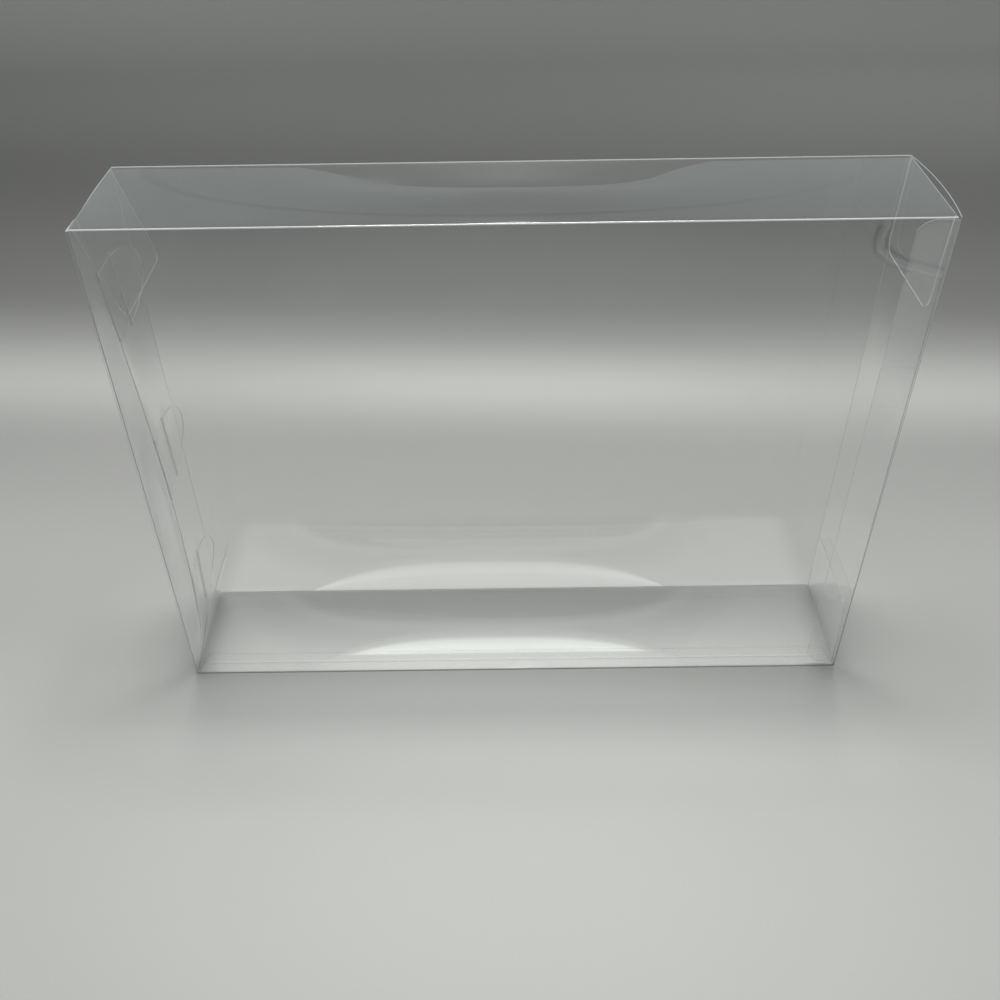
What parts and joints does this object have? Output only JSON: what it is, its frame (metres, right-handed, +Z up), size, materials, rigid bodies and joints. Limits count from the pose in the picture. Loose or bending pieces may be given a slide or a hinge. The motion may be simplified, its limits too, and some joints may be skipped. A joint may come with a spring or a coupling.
{
  "type": "clear box protector",
  "caption": "Clear folded-film box that stands on a long narrow side, with a hinged tuck-in end, a tongue-and-slit locked end and dust flaps inside both ends.",
  "frame": {"origin": "middle of the footprint of the tube, on the surface the box stands on", "axes": "+X along the width, towards the closure that opens; +Y from the front panel to the back panel; +Z up"},
  "size_m": [0.393, 0.07, 0.291],
  "materials": {
    "clear_film": "clear, glossy"
  },
  "bodies": {
    "sleeve": {"sleeve": "clear_film"},
    "closure": {"closure": "clear_film"}
  },
  "joints": [
    {"name": "closure_hinge", "type": "hinge", "parent": "sleeve", "child": "closure", "pos_m": [0.19475, 0.03475, 0.1455], "axis": [0, 0, 1], "range_deg": [0, 120]}
  ]
}
